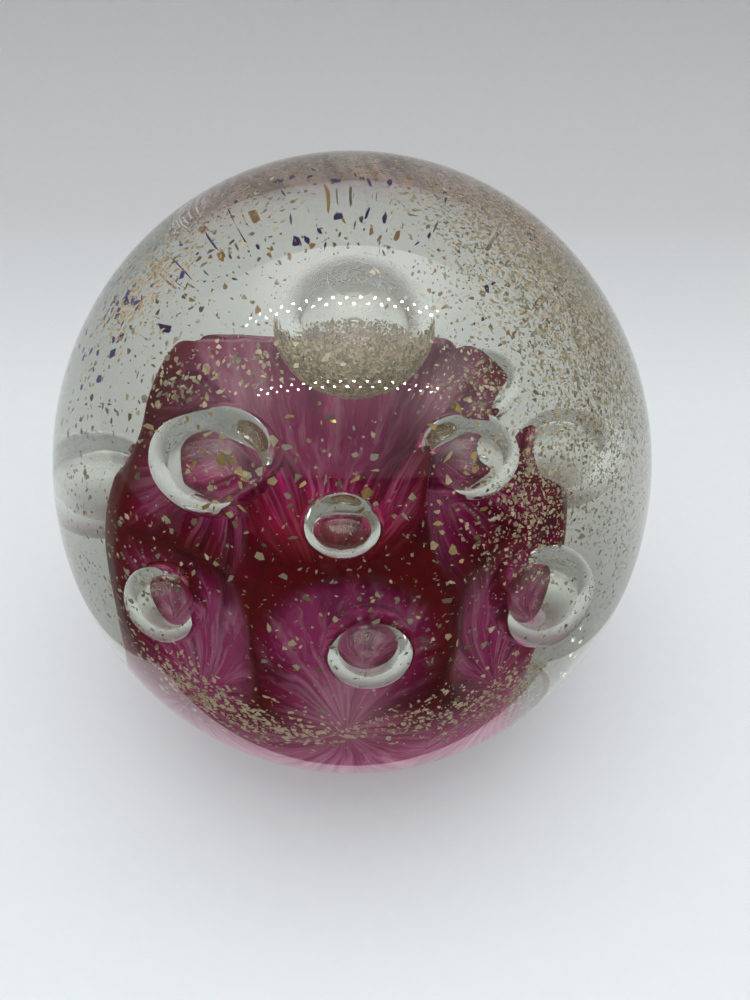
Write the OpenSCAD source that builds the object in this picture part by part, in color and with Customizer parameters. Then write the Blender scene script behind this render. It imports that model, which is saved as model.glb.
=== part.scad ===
// Studio glass paperweight: a clear egg-shaped casing over a dimpled pink bulb, with trapped
// air bubbles, a poked crown bubble and a layer of metallic flakes between the two clear gathers.
// +Z is up, the flat foot is at Z = 0 and the axis of the body is X = Y = 0. The front is -Y.

/* [Body] */
// Largest diameter of the clear casing
body_d = 80; // [60:1:110]
// Height of the whole egg over its diameter, before the foot is ground flat
body_stretch = 1.07; // [1:0.01:1.15]
// Height of the widest section above the foot, as a share of the body radius
waist_height = 0.868; // [0.8:0.01:0.92]

/* [Layers] */
// Outer radius of the second gather, as a share of the body radius
gather_share = 0.9; // [0.84:0.01:0.92]
// Width of the seam between the second gather and the casing, where the flakes lie
flake_seam = 0.4; // [0.3:0.05:0.6]
// Thickness of the pink glass
pink_t = 1; // [0.6:0.1:1.4]

/* [Crown bubble] */
// Width of the bubble trapped in the poke at the top
crown_bubble_d = 14.4; // [10:0.2:16]
// Height of that bubble over its width
crown_bubble_squash = 0.86; // [0.7:0.02:1]
// Height of its centre above the widest section, as a share of the body radius
crown_bubble_lift = 0.485; // [0.46:0.005:0.52]
// Diameter of the narrow closed neck of the poke, above the bubble
poke_neck_d = 5; // [3:0.5:7]

/* [Flakes] */
// Number of flakes in each zone of the seam
flakes_per_zone = 40; // [10:5:60]
// Number of flakes stuck to the floor of the crown bubble
crown_floor_flakes = 30; // [10:5:50]
// Number of larger gold leaf scraps
leaf_scraps = 14; // [4:1:24]
// Thickness of a flake
flake_t = 0.12; // [0.08:0.02:0.16]
// Shortest and longest flake
flake_size_min = 0.5; // [0.3:0.1:0.8]
flake_size_max = 1.3; // [0.9:0.1:1.6]
// Shortest and longest leaf scrap
leaf_size_min = 1.4; // [1:0.1:1.6]
leaf_size_max = 2.4; // [1.8:0.1:2.8]

/* [Hidden] */

round_fn = 64;
body_steps = 48;
crown_steps = 24;

// Ovals of revolution: [radius, half height, height of the centre above the foot].
body_r = body_d / 2;
waist_z = body_r * waist_height;
body_oval = [body_r, body_r * body_stretch, waist_z];
gather_oval = [body_r * gather_share, body_r * body_stretch * gather_share, waist_z];
casing_bore_oval = gather_oval + [flake_seam, flake_seam, 0];
seam_oval = gather_oval + [flake_seam / 2, flake_seam / 2, 0];
// Below this height the casing and the second gather are fused with no seam.
seam_foot_z = body_r * 0.16;

crown_r = crown_bubble_d / 2;
crown_z = waist_z + body_r * crown_bubble_lift;
crown_oval = [crown_r, crown_r * crown_bubble_squash, crown_z];
poke_neck_r = poke_neck_d / 2;
// The plug ends inside the casing, half way through its wall at the top.
plug_top_z = waist_z + (casing_bore_oval[1] + body_oval[1]) / 2;

// The pink bulb: height above the waist and radius of its ridges, both over the body radius,
// from the neck at the foot up to the lobes that stand round the crown bubble.
bulb_shift = -0.04;
bulb_outline = [
    [-0.90, 0.29], [-0.76, 0.29], [-0.64, 0.33], [-0.52, 0.40], [-0.38, 0.455], [-0.22, 0.50],
    [-0.06, 0.515], [0.06, 0.48], [0.18, 0.45], [0.28, 0.43], [0.345, 0.38], [0.37, 0.24],
];
outline_steps = 4;

// Six columns of dimples in two tiers, and the air bubble that each dimple traps: the bubble's
// direction from the front, distance from the axis, height above the waist and radius, then the
// direction, distance and height of the dimple. The front upper dimple opens into the funnel.
lower_tier = [
    [4, 0.48, -0.125, 0.110, 3, 0.80, -0.12], [-55, 0.54, -0.12, 0.100, -50, 0.80, -0.12],
    [59, 0.52, -0.13, 0.130, 60, 0.80, -0.12], [-108, 0.55, -0.13, 0.110, -112, 0.80, -0.12],
    [120, 0.51, -0.12, 0.115, 122, 0.80, -0.12], [180, 0.52, -0.13, 0.105, 180, 0.80, -0.12],
];
upper_tier = [
    [-4, 0.41, 0.215, 0.088, -3, 0.46, 0.50], [-66, 0.37, 0.215, 0.125, -56, 0.675, 0.20],
    [59, 0.31, 0.225, 0.120, 62, 0.62, 0.20], [-124, 0.36, 0.16, 0.092, -114, 0.675, 0.20],
    [124, 0.35, 0.15, 0.092, 116, 0.62, 0.20], [180, 0.37, 0.20, 0.090, 180, 0.675, 0.20],
];
lower_dimple_r = 0.40;
skirt_dimple_drop = 0.18;
skirt_dimple_r = 0.42;
upper_dimple_r = 0.34;
// The funnel in the top, and the slope of the top down towards the back.
funnel_r = 0.31;
funnel_forward = 0.03;
funnel_z = 0.47;
bulb_top_z = 0.44;
top_slope = 40;
top_slope_z = 0.43;

// Flake patches: directions from the front, then heights as angles from the widest section.
side_patches = [[-58, -2], [2, 58], [62, 118], [122, 178], [182, 238], [242, 298]];
side_heights = [-38, 58];
crown_patch = [0, 360];
crown_heights = [62, 80];
leaf_patch = [-70, 75];
leaf_heights = [20, 48];
floor_patch = [0, 360];
floor_heights = [-75, -8];
// Gap between the wall of the crown bubble and the middle of a flake on its floor.
floor_flake_gap = 0.1;
crown_floor_oval = crown_oval - [floor_flake_gap, floor_flake_gap, 0];
flake_size_mid = (flake_size_min + flake_size_max) / 2;
crown_seed = 70;
floor_seed = 80;
leaf_seed = 92;

// Shape of one scrap, and how far the rows and columns of a patch are shaken.
scrap_corners = 5;
scrap_slimness = 0.7;
scrap_roughness = 0.35;
golden_turn = 0.618;
column_shake = 0.3;
row_shake = 0.05;

function toward(az, out, z) = body_r * [out * sin(az), -out * cos(az), z];

// Radius and height above the foot of one point on an oval of revolution.
function oval_point(oval, angle) = [oval[0] * cos(angle), oval[2] + oval[1] * sin(angle)];
// Direction of the surface normal there, as an angle above the horizon.
function oval_lean(oval, angle) = atan2(sin(angle) / oval[1], cos(angle) / oval[0]);
function between(range, share) = range[0] + (range[1] - range[0]) * share;

// Smooth curve through the points of an outline, by Catmull-Rom segments.
function smooth_point(p0, p1, p2, p3, t) =
    0.5 * (2 * p1 + (p2 - p0) * t + (2 * p0 - 5 * p1 + 4 * p2 - p3) * t * t
        + (3 * p1 - p0 - 3 * p2 + p3) * t * t * t);
function smooth_outline(points, steps) = let (last = len(points) - 1) concat(
    [for (i = [0 : last - 1], k = [0 : steps - 1])
        smooth_point(points[max(i - 1, 0)], points[i], points[i + 1],
            points[min(i + 2, last)], k / steps)],
    [points[last]]);

// An oval is [radius, half height, height of its centre].
module oval_solid(oval, steps) {
    rotate_extrude($fn = round_fn)
        polygon([for (i = [0 : steps]) oval_point(oval, -90 + 180 * i / steps)]);
}

module above(z) {
    translate([-body_d, -body_d, z]) cube([2 * body_d, 2 * body_d, 3 * body_d]);
}

module crown_bubble() {
    oval_solid(crown_oval, crown_steps);
}

// The narrow neck of the poke, from the bubble up to the given height.
module poke_neck(top) {
    translate([0, 0, crown_z]) cylinder(h = top - crown_z, r = poke_neck_r, $fn = round_fn);
}

module dimple_ring(tier, drop, r) {
    for (column = tier)
        translate(toward(column[4], column[5], column[6] - drop)) sphere(r = r, $fn = round_fn);
}

// Everything above a plane at height z that slopes down to the back.
module above_slope(z, slope, inset) {
    translate([0, 0, z]) rotate([-slope, 0, 0])
        translate([-body_d, -body_d, -inset]) cube([2 * body_d, 2 * body_d, body_d]);
}

// The pink bulb with its dimples, pulled in by inset all over.
module bulb(inset) {
    outline = [for (p = smooth_outline(bulb_outline, outline_steps))
        [body_r * p[1] - inset, body_r * p[0]]];
    translate([bulb_shift * body_r, 0, waist_z]) difference() {
        rotate_extrude($fn = round_fn)
            polygon(concat(
                [[0, outline[0][1]]], outline, [[0, outline[len(outline) - 1][1]]]));
        dimple_ring(lower_tier, 0, body_r * lower_dimple_r + inset);
        dimple_ring(lower_tier, skirt_dimple_drop, body_r * skirt_dimple_r + inset);
        dimple_ring(upper_tier, 0, body_r * upper_dimple_r + inset);
        translate([0, -body_r * funnel_forward, body_r * funnel_z])
            sphere(r = body_r * funnel_r + inset, $fn = round_fn);
        above_slope(body_r * bulb_top_z, 0, inset);
        above_slope(body_r * top_slope_z, top_slope, inset);
    }
}

module trapped_bubbles() {
    for (bubble = concat(lower_tier, upper_tier))
        translate(toward(bubble[0], bubble[1], bubble[2]) + [0, 0, waist_z])
            sphere(r = body_r * bubble[3], $fn = round_fn);
}

// A thin irregular scrap of foil or mica, lying flat.
module scrap(size, seed) {
    reach = rands(1 - scrap_roughness, 1, scrap_corners, seed);
    linear_extrude(height = flake_t, center = true)
        polygon([for (i = [0 : scrap_corners - 1]) let (angle = 360 * i / scrap_corners)
            size / 2 * reach[i] * [cos(angle), scrap_slimness * sin(angle)]]);
}

// Scraps spread over a patch of an oval, each lying along its surface.
module scraps(count, oval, patch, heights, sizes, seed) {
    shakes = rands(-0.5, 0.5, count, seed);
    lifts = rands(0, row_shake, count, seed + 1);
    grades = rands(0, 1, count, seed + 2);
    turns = rands(0, 360, count, seed + 3);
    for (i = [0 : count - 1]) {
        az = between(patch, (i + 0.5 + column_shake * shakes[i]) / count);
        angle = between(heights, (i * golden_turn + lifts[i]) % 1);
        place = oval_point(oval, angle);
        rotate([0, 0, az - 90]) translate([place[0], 0, place[1]])
            rotate([0, 90 - oval_lean(oval, angle), 0]) rotate([0, 0, turns[i]])
                scrap(between(sizes, grades[i]), seed * 100 + i);
    }
}

module side_flakes(index) {
    color("burlywood") scraps(flakes_per_zone, seam_oval, side_patches[index], side_heights,
        [flake_size_min, flake_size_max], 10 * index + 1);
}

// The last gather: a thick skin, open at the foot, whose plug closes the neck of the poke.
module outer_casing() {
    color("lightcyan", 0.35) difference() {
        union() {
            difference() {
                intersection() {
                    oval_solid(body_oval, body_steps);
                    above(0);
                }
                oval_solid(gather_oval, body_steps);
                intersection() {
                    oval_solid(casing_bore_oval, body_steps);
                    above(seam_foot_z);
                }
            }
            poke_neck(plug_top_z);
        }
        crown_bubble();
    }
}

module second_gather() {
    color("azure", 0.35) difference() {
        intersection() {
            oval_solid(gather_oval, body_steps);
            above(0);
        }
        bulb(0);
        trapped_bubbles();
        crown_bubble();
        poke_neck(body_d * 2);
    }
}

module pink_overlay() {
    color("mediumvioletred") difference() {
        intersection() {
            bulb(0);
            above(0);
        }
        bulb(pink_t);
    }
}

module core_gather() {
    color("lavenderblush", 0.5) intersection() {
        bulb(pink_t);
        above(0);
    }
}

module flakes_crown() {
    color("burlywood") scraps(flakes_per_zone, seam_oval, crown_patch, crown_heights,
        [flake_size_min, flake_size_max], crown_seed);
}

module crown_floor_flakes() {
    color("goldenrod") scraps(crown_floor_flakes, crown_floor_oval, floor_patch, floor_heights,
        [flake_size_min, flake_size_mid], floor_seed);
}

module gold_leaf_scraps() {
    color("gold") scraps(leaf_scraps, seam_oval, leaf_patch, leaf_heights,
        [leaf_size_min, leaf_size_max], leaf_seed);
}

outer_casing();
second_gather();
pink_overlay();
core_gather();
side_flakes(0);  // flakes_front_left
side_flakes(1);  // flakes_front_right
side_flakes(2);  // flakes_right
side_flakes(3);  // flakes_back_right
side_flakes(4);  // flakes_back_left
side_flakes(5);  // flakes_left
flakes_crown();
crown_floor_flakes();
gold_leaf_scraps();
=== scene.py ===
"""Studio glass paperweight: clear casing over a dimpled pink bulb, with trapped bubbles and metal flakes.

Everything is in metres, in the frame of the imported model: +Z up, the foot at Z = 0, the front at -Y.
Shapes that belong to the glass are worked out in body radii from the middle of the widest section.
"""

import math

import bpy
import numpy as np
from mathutils import Euler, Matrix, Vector


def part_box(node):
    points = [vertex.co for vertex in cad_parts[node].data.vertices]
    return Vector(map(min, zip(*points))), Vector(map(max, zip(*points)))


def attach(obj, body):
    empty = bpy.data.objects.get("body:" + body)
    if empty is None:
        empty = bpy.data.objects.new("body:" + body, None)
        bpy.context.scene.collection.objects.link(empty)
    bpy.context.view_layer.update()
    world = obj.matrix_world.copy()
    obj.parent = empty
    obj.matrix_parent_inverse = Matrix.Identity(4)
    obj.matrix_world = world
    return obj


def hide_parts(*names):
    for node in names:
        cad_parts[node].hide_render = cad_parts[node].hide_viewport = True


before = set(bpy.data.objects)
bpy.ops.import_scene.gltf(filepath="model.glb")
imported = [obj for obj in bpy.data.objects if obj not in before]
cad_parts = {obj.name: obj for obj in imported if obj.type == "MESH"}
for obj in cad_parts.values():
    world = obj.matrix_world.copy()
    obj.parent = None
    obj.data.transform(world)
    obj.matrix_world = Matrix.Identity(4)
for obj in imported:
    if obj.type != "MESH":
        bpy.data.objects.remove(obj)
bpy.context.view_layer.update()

# ---------------------------------------------------------------- sizes taken from the frame
casing_low, casing_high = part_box("outer_casing")
BODY_R = (casing_high.x - casing_low.x) / 2
WAIST_Z = 0.868 * BODY_R
HALF_H = (casing_high.z - WAIST_Z) / BODY_R
FOOT = -WAIST_Z / BODY_R
MM = 0.001 / BODY_R

# The second gather's radius, the seam round it, and the height where that seam closes.
GATHER = 0.9
SEAM = 0.4 * MM
SEAM_FOOT = FOOT + 0.16
SEAM_FADE = 0.03
# The crown bubble: radius, half height and middle. The neck of the poke leads up from it.
CROWN = (0.18, 0.18 * 0.86, 0.485)
NECK_R = 2.5 * MM
PINK_T = 1.0 * MM
# Room between the casing and the second gather where they are fused, so no faces coincide.
SKIN = 0.04 * MM
# Room between the pink glass and the clear gathers on both sides of it.
PINK_ROOM = 0.14 * MM
# Room between the pink glass and the bubbles.
BUBBLE_ROOM = 0.2 * MM

# ---------------------------------------------------------------- the outline and dimples of the CAD bulb
BULB_SHIFT = -0.04
BULB_OUTLINE = [
    (-0.90, 0.29), (-0.76, 0.29), (-0.64, 0.33), (-0.52, 0.40), (-0.38, 0.455), (-0.22, 0.50),
    (-0.06, 0.515), (0.06, 0.48), (0.18, 0.45), (0.28, 0.43), (0.345, 0.38), (0.37, 0.24),
]
# One row for each column of a tier: the bubble's direction from the front in degrees, distance
# from the axis, height, radius and squash, then the dimple's direction, distance and height.
LOWER_TIER = [
    (4, 0.48, -0.125, 0.112, 0.96, 3, 0.80, -0.12), (-55, 0.54, -0.12, 0.104, 1.0, -50, 0.80, -0.12),
    (58, 0.52, -0.13, 0.132, 1.0, 60, 0.80, -0.12), (-108, 0.55, -0.16, 0.118, 1.0, -112, 0.80, -0.12),
    (120, 0.51, -0.15, 0.105, 1.15, 122, 0.80, -0.12), (180, 0.52, -0.13, 0.105, 1.0, 180, 0.80, -0.12),
]
UPPER_TIER = [
    (-4, 0.41, 0.215, 0.100, 0.70, -3, 0.46, 0.50), (-62, 0.365, 0.215, 0.158, 0.78, -56, 0.675, 0.20),
    (57, 0.31, 0.225, 0.125, 0.78, 62, 0.62, 0.20), (-124, 0.35, 0.13, 0.090, 0.9, -114, 0.675, 0.20),
    (124, 0.34, 0.13, 0.090, 0.9, 116, 0.62, 0.20), (180, 0.37, 0.20, 0.090, 0.9, 180, 0.675, 0.20),
]
LOWER_DIMPLE_R = 0.40
SKIRT_DIMPLE_R = 0.42
SKIRT_DROP = 0.18
UPPER_DIMPLE_R = 0.34
FUNNEL_R = 0.31
FUNNEL_FORWARD = 0.03
FUNNEL_Z = 0.47
TOP_Z = 0.44
TOP_SLOPE = math.radians(40)
TOP_SLOPE_Z = 0.43
RIDGE_ROUND = 0.02
SADDLE_ROUND = 0.08
# Brings the level distance from the sloping outline nearer to the true one.
OUTLINE_LEAN = 0.8
OUTLINE_STEPS = 6
# Rays from the heart find the surface: first angle from upright, step, longest reach and halvings.
HEART = np.array([BULB_SHIFT, 0.0, -0.10])
FIRST_POLAR = 0.004
RAY_STEP = 0.02
RAY_END = 1.5
RAY_HALVINGS = 14


def toward(azimuth, out, z):
    """The point at a direction from the front in degrees, a distance from the axis and a height."""
    a = math.radians(azimuth)
    return np.array([out * math.sin(a), -out * math.cos(a), z])


def dimples():
    """Every dimple of the bulb as (centre, radius): two for each lower column, one for each upper."""
    cuts = []
    for column in LOWER_TIER:
        cuts.append((toward(*column[5:]), LOWER_DIMPLE_R))
        cuts.append((toward(*column[5:]) - (0, 0, SKIRT_DROP), SKIRT_DIMPLE_R))
    for column in UPPER_TIER:
        cuts.append((toward(*column[5:]), UPPER_DIMPLE_R))
    return cuts


DIMPLES = dimples()
# The front upper dimple opens into the funnel.
FRONT_DIMPLE = 2 * len(LOWER_TIER)
FUNNEL = np.array([0.0, -FUNNEL_FORWARD, FUNNEL_Z])


def catmull_rom(points, steps):
    """A smooth curve through the points."""
    p = np.array(points)
    last = len(p) - 1
    curve = []
    for i in range(last):
        a, b, c, d = p[max(i - 1, 0)], p[i], p[i + 1], p[min(i + 2, last)]
        for t in np.arange(steps) / steps:
            curve.append(
                0.5 * (2 * b + (c - a) * t + (2 * a - 5 * b + 4 * c - d) * t**2
                       + (3 * b - a - 3 * c + d) * t**3)
            )
    curve.append(p[-1])
    return np.array(curve)


OUTLINE = catmull_rom(BULB_OUTLINE, OUTLINE_STEPS)


def carve(depth, cut, blend):
    """Smooth maximum of two signed depths: takes the cut out of the solid, with a rounded edge."""
    h = np.clip(0.5 - 0.5 * (cut - depth) / blend, 0, 1)
    return cut + (depth - cut) * h + blend * h * (1 - h)


def bulb_depth(points, grow=0.0):
    """Signed distance, roughly, to the pink bulb grown by grow: below zero inside it."""
    p = points - np.array([BULB_SHIFT, 0.0, 0.0])
    radius = np.hypot(p[:, 0], p[:, 1])
    depth = (radius - np.interp(p[:, 2], OUTLINE[:, 0], OUTLINE[:, 1])) * OUTLINE_LEAN - grow
    depth = carve(depth, p[:, 2] - TOP_Z - grow, RIDGE_ROUND)
    for number, (centre, size) in enumerate(DIMPLES):
        blend = SADDLE_ROUND if number == FRONT_DIMPLE else RIDGE_ROUND
        depth = carve(depth, size - grow - np.linalg.norm(p - centre, axis=1), blend)
    funnel = FUNNEL_R - grow - np.linalg.norm(p - FUNNEL, axis=1)
    depth = carve(depth, funnel, SADDLE_ROUND)
    slope = (p[:, 2] - TOP_SLOPE_Z) * math.cos(TOP_SLOPE) + p[:, 1] * math.sin(TOP_SLOPE)
    depth = carve(depth, slope - grow, RIDGE_ROUND)
    for column in LOWER_TIER + UPPER_TIER:
        away = (points - toward(*column[:3])) / np.array([1, 1, column[4]])
        bubble = column[3] + BUBBLE_ROOM - grow - np.linalg.norm(away, axis=1)
        depth = carve(depth, bubble, BUBBLE_ROOM)
    return depth


def bulb_rings(around, down, grow, foot_r, fold=None):
    """Rings of points on the bulb, from above the heart down to the edge at the foot."""
    last = math.atan2(foot_r, HEART[2] - FOOT)
    polar = np.linspace(FIRST_POLAR, math.pi - last, down)
    azimuth = np.arange(around) * 2 * math.pi / around
    t, a = np.meshgrid(polar, azimuth, indexing="ij")
    rays = np.stack([np.sin(t) * np.sin(a), -np.sin(t) * np.cos(a), np.cos(t)], -1).reshape(-1, 3)
    near, far = np.zeros(len(rays)), np.full(len(rays), RAY_STEP)
    open_rays = np.ones(len(rays), bool)
    while open_rays.any() and far.max() < RAY_END:
        inside = bulb_depth(HEART + rays[open_rays] * far[open_rays, None], grow) < 0
        index = np.flatnonzero(open_rays)
        near[index[inside]] = far[index[inside]]
        far[index[inside]] += RAY_STEP
        open_rays[index[~inside]] = False
    for _ in range(RAY_HALVINGS):
        middle = (near + far) / 2
        inside = bulb_depth(HEART + rays * middle[:, None], grow) < 0
        near = np.where(inside, middle, near)
        far = np.where(inside, far, middle)
    reach = near
    if fold is not None:
        reach = reach + fold(HEART + rays * reach[:, None])
    points = HEART + rays * reach[:, None]
    points[:, 2] = np.maximum(points[:, 2], FOOT)
    rings = points.reshape(down, around, 3)
    rings[-1, :, 0] = BULB_SHIFT + foot_r * np.sin(azimuth)
    rings[-1, :, 1] = -foot_r * np.cos(azimuth)
    rings[-1, :, 2] = FOOT
    return rings


def oval_rings(around, oval, angles):
    """Rings of points on an oval of revolution (radius, half height, middle), at these height angles."""
    return [level_ring(around, oval[0] * math.cos(t), oval[2] + oval[1] * math.sin(t)) for t in angles]


def level_ring(around, radius, z, shift=0.0):
    """One level ring of points."""
    azimuth = np.arange(around) * 2 * math.pi / around
    return np.stack([shift + radius * np.sin(azimuth), -radius * np.cos(azimuth), np.full(around, z)], 1)


class Skin:
    """Points and faces of closed skins made of rings, with a material slot for each band of faces."""

    def __init__(self):
        self.points = []
        self.faces = []
        self.slots = []

    def loft(self, bands, first_pole, last_pole):
        """Joins rings from one pole to the other. A band is (rings, slot): its slot covers the faces
        that lead up to each of its rings. Rings that run down an outside face outwards."""
        start = len(self.points)
        rings = [ring for band, _ in bands for ring in band]
        slots = [slot for band, slot in bands for _ in band]
        around = len(rings[0])
        self.points.extend(np.concatenate(rings).tolist())
        self.points.extend([list(first_pole), list(last_pole)])
        first, last = len(self.points) - 2, len(self.points) - 1
        for i in range(around):
            k = (i + 1) % around
            self.add((first, start + i, start + k), slots[0])
            for j in range(len(rings) - 1):
                here, there = start + j * around, start + (j + 1) * around
                self.add((here + i, there + i, there + k, here + k), slots[j + 1])
            end = start + (len(rings) - 1) * around
            self.add((end + i, last, end + k), slots[-1])

    def add(self, face, slot):
        """One face with its material slot."""
        self.faces.append(face)
        self.slots.append(slot)


def into_metres(points):
    """Body radii from the middle of the widest section, to metres above the foot."""
    return np.asarray(points) * BODY_R + np.array([0.0, 0.0, WAIST_Z])


def make_piece(name, skin, materials, nodes, smooth=True):
    """A Blender object from a skin. It rides on the one body and stands for these CAD nodes."""
    mesh = bpy.data.meshes.new(name)
    mesh.from_pydata(into_metres(skin.points).tolist(), [], skin.faces)
    for material in materials:
        mesh.materials.append(material)
    mesh.polygons.foreach_set("material_index", skin.slots)
    if smooth:
        mesh.shade_smooth()
        mesh.set_sharp_from_angle(angle=SHARP_ANGLE)
    mesh.validate()
    mesh.update()
    piece = bpy.data.objects.new(name, mesh)
    bpy.context.scene.collection.objects.link(piece)
    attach(piece, "root")
    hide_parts(*nodes)
    return piece


# ---------------------------------------------------------------- materials
def new_material(name):
    """A material with its nodes, links and main shader."""
    material = bpy.data.materials.new(name)
    material.use_nodes = True
    nodes, links = material.node_tree.nodes, material.node_tree.links
    return material, nodes, links, nodes["Principled BSDF"]


def ramp(nodes, stops, interpolation="LINEAR"):
    """A ColorRamp node with (position, colour) stops."""
    node = nodes.new("ShaderNodeValToRGB")
    node.color_ramp.interpolation = interpolation
    elements = node.color_ramp.elements
    while len(elements) < len(stops):
        elements.new(1.0)
    for element, (position, colour) in zip(elements, stops):
        element.position = position
        element.color = (*colour, 1.0)
    return node


def noise(nodes, links, coordinates, scale, detail=3.0, roughness=0.5):
    """The value of a noise texture."""
    node = nodes.new("ShaderNodeTexNoise")
    node.inputs["Scale"].default_value = scale
    node.inputs["Detail"].default_value = detail
    node.inputs["Roughness"].default_value = roughness
    links.new(coordinates, node.inputs["Vector"])
    return node.outputs["Fac"]


def attribute(nodes, name, output):
    """Data stored on the mesh under this name."""
    node = nodes.new("ShaderNodeAttribute")
    node.attribute_name = name
    return node.outputs[output]


def math_node(nodes, links, operation, first, second):
    """A sum or product of two sockets or numbers."""
    node = nodes.new("ShaderNodeMath")
    node.operation = operation
    for socket, value in zip(node.inputs, (first, second)):
        if isinstance(value, (int, float)):
            socket.default_value = value
        else:
            links.new(value, socket)
    return node.outputs["Value"]


def mix_colour(nodes, links, factor, first, second, blend="MIX"):
    """A blend of two colours, each a socket or a constant."""
    node = nodes.new("ShaderNodeMix")
    node.data_type = "RGBA"
    node.blend_type = blend
    # The colour sockets of this node are its seventh and eighth.
    for socket, value in ((node.inputs["Factor"], factor), (node.inputs[6], first), (node.inputs[7], second)):
        if isinstance(value, (int, float, tuple)):
            socket.default_value = value
        else:
            links.new(value, socket)
    return node.outputs[2]


def glass(name, tint, through, wave_scale, wave_depth):
    """Clear glass with slow waves in its surface. Light on its way to other things shines straight
    through it, dimmed to the colour through."""
    material, nodes, links, shader = new_material(name)
    shader.inputs["Base Color"].default_value = (*tint, 1.0)
    shader.inputs["Transmission Weight"].default_value = 1.0
    shader.inputs["Roughness"].default_value = 0.0
    shader.inputs["IOR"].default_value = GLASS_IOR
    place = nodes.new("ShaderNodeTexCoord").outputs["Object"]
    bump = nodes.new("ShaderNodeBump")
    bump.inputs["Strength"].default_value = 1.0
    bump.inputs["Distance"].default_value = wave_depth
    links.new(noise(nodes, links, place, wave_scale, 1.0), bump.inputs["Height"])
    links.new(bump.outputs["Normal"], shader.inputs["Normal"])
    path = nodes.new("ShaderNodeLightPath").outputs
    passing = math_node(nodes, links, "MAXIMUM", path["Is Shadow Ray"], path["Is Diffuse Ray"])
    clear = nodes.new("ShaderNodeBsdfTransparent")
    clear.inputs["Color"].default_value = (*through, 1.0)
    mix = nodes.new("ShaderNodeMixShader")
    links.new(passing, mix.inputs["Fac"])
    links.new(shader.outputs["BSDF"], mix.inputs[1])
    links.new(clear.outputs["BSDF"], mix.inputs[2])
    links.new(mix.outputs["Shader"], nodes["Material Output"].inputs["Surface"])
    return material


def fused_glass(name):
    """The face where two layers of glass have melted together: nothing is seen there."""
    material, nodes, links, shader = new_material(name)
    shader.inputs["Base Color"].default_value = (0.95, 0.97, 0.96, 1.0)
    shader.inputs["Alpha"].default_value = 0.0
    shader.inputs["Roughness"].default_value = 0.0
    return material


# Painted glow: the skirt gives off light in its own colour, standing in for the light that the clear glass
# carries down into the thin skirt.
SKIRT_PAINTED_GLOW = 0.30


def pink_glass():
    """Streaky magenta glass, dark crimson on the ridges and pale along the fans of folds, with painted sheen
    on a few patches and, towards the foot, paler pink and a painted glow.
    """
    material, nodes, links, shader = new_material("pink_glass")
    valley = attribute(nodes, "valley", "Fac")
    fan = attribute(nodes, "fan", "Vector")
    place = nodes.new("ShaderNodeTexCoord").outputs["Object"]
    broad = noise(nodes, links, place, 130.0, 3.0)
    fine = noise(nodes, links, warped(nodes, links, fan, place), 11.0, 4.0, 0.6)
    wide = noise(nodes, links, fan, 3.2, 2.0)
    depth = math_node(nodes, links, "MULTIPLY_ADD", broad, 0.8)
    depth.node.inputs[2].default_value = -0.42
    depth = math_node(nodes, links, "ADD", depth, valley)
    body = ramp(nodes, [
        (0.0, (0.155, 0.006, 0.008)), (0.22, (0.220, 0.004, 0.030)), (0.45, (0.270, 0.008, 0.072)),
        (0.75, (0.390, 0.016, 0.130)), (1.0, (0.500, 0.060, 0.220)),
    ])
    links.new(depth, body.inputs["Fac"])
    pale = ramp(nodes, [(0.48, (0.0, 0.0, 0.0)), (0.62, (1.0, 1.0, 1.0))])
    links.new(fine, pale.inputs["Fac"])
    dark = ramp(nodes, [(0.36, (1.0, 1.0, 1.0)), (0.52, (0.0, 0.0, 0.0))])
    links.new(wide, dark.inputs["Fac"])
    streak = math_node(nodes, links, "MULTIPLY", pale.outputs["Color"], valley)
    streak = math_node(nodes, links, "MULTIPLY", streak, 0.55)
    colour = mix_colour(nodes, links, streak, body.outputs["Color"], (0.75, 0.36, 0.52, 1.0))
    shade = math_node(nodes, links, "MULTIPLY", dark.outputs["Color"], 0.75)
    colour = mix_colour(nodes, links, shade, colour, (0.085, 0.006, 0.014, 1.0))
    # The skirt turns paler: partly the thinner layer, partly painted light.
    colour = mix_colour(nodes, links, attribute(nodes, "skirt", "Fac"), colour, thin_and_lit_pink(nodes, links, fine))
    # Painted sheen: pale pink painted over the spots where highlights show.
    painted_sheen = math_node(nodes, links, "MULTIPLY", attribute(nodes, "painted_sheen", "Fac"), fine)
    colour = mix_colour(nodes, links, painted_sheen, colour, (1.0, 0.56, 0.74, 1.0))
    colour = mix_colour(nodes, links, attribute(nodes, "smoke", "Fac"), colour, smoky(nodes, links, fine))
    links.new(colour, shader.inputs["Base Color"])
    # Painted glow: the skirt gives off its own colour as light.
    glow = mix_colour(nodes, links, attribute(nodes, "skirt", "Fac"), (0.0, 0.0, 0.0, 1.0), colour)
    links.new(glow, shader.inputs["Emission Color"])
    shader.inputs["Emission Strength"].default_value = SKIRT_PAINTED_GLOW
    gloss = math_node(nodes, links, "MULTIPLY_ADD", fine, 0.3)
    gloss.node.inputs[2].default_value = 0.18
    links.new(gloss, shader.inputs["Roughness"])
    shader.inputs["Metallic"].default_value = 0.35
    shader.inputs["Specular IOR Level"].default_value = 0.05
    bump = nodes.new("ShaderNodeBump")
    bump.inputs["Strength"].default_value = 0.6
    bump.inputs["Distance"].default_value = 0.0003
    links.new(fine, bump.inputs["Height"])
    links.new(bump.outputs["Normal"], shader.inputs["Normal"])
    return material


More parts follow.
